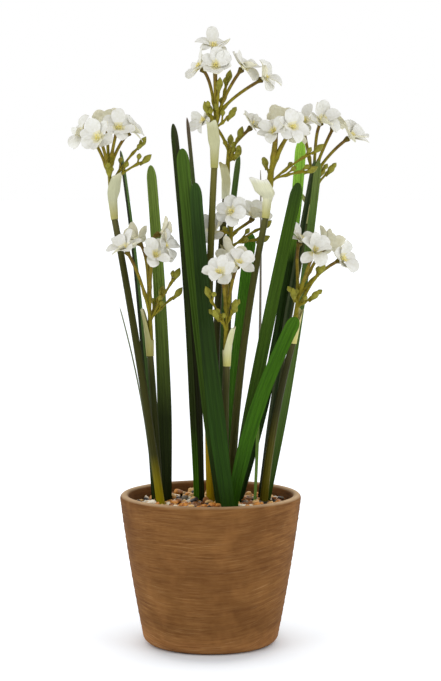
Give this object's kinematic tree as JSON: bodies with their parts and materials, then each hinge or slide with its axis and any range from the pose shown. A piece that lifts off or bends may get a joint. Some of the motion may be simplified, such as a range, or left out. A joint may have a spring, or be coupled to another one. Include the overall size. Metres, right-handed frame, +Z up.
{
  "type": "potted narcissus",
  "caption": "Artificial paperwhite narcissus: clusters of white star-shaped flowers on upright stems among strap leaves, set in gravel in a tapered brown clay pot.",
  "frame": {"origin": "centre of the pot's flat underside", "axes": "+Z up along the pot's axis, -Y towards the front, +X to the right seen from the front"},
  "size_m": [0.2468, 0.146, 0.494],
  "materials": {
    "clay": "matte brown, brushed with faint level strokes",
    "filling": "dark foam, hidden under the gravel",
    "gravel": "mixed tan, white, grey and black pebbles, half gloss",
    "stem": "olive green, finely ribbed",
    "leaf": "green with lengthwise ribs, satin",
    "spathe": "papery, pale green to cream",
    "flower": "white cloth petals on olive stalks with buds"
  },
  "bodies": {
    "root": {"pot": "clay", "filling": "filling", "gravel": "gravel", "stem_far_left": "stem", "spathe_far_left": "spathe", "flowers_far_left": "flower", "stem_left_low": "stem", "spathe_left_low": "spathe", "flowers_left_low": "flower", "stem_tall": "stem", "spathe_tall": "spathe", "flowers_tall": "flower", "stem_tall_behind": "stem", "spathe_tall_behind": "spathe", "flowers_tall_behind": "flower", "stem_middle_behind": "stem", "spathe_middle_behind": "spathe", "flowers_middle_behind": "flower", "stem_middle_low": "stem", "spathe_middle_low": "spathe", "flowers_middle_low": "flower", "stem_right_tall": "stem", "spathe_right_tall": "spathe", "flowers_right_tall": "flower", "stem_right_low": "stem", "spathe_right_low": "spathe", "flowers_right_low": "flower", "stem_right_back": "stem", "spathe_right_back": "spathe", "flowers_right_back": "flower", "leaf_left_broad": "leaf", "leaf_left_narrow": "leaf", "leaf_left_wisp": "leaf", "leaf_dark": "leaf", "leaf_green": "leaf", "leaf_spike": "leaf", "leaf_front_broad": "leaf", "leaf_front_bright": "leaf", "leaf_right_arch": "leaf", "leaf_right_lime": "leaf", "leaf_right_outer": "leaf", "leaf_right_inner": "leaf", "leaf_right_wisp": "leaf", "leaf_middle_narrow": "leaf", "leaf_middle_broad": "leaf"}
  },
  "joints": []
}
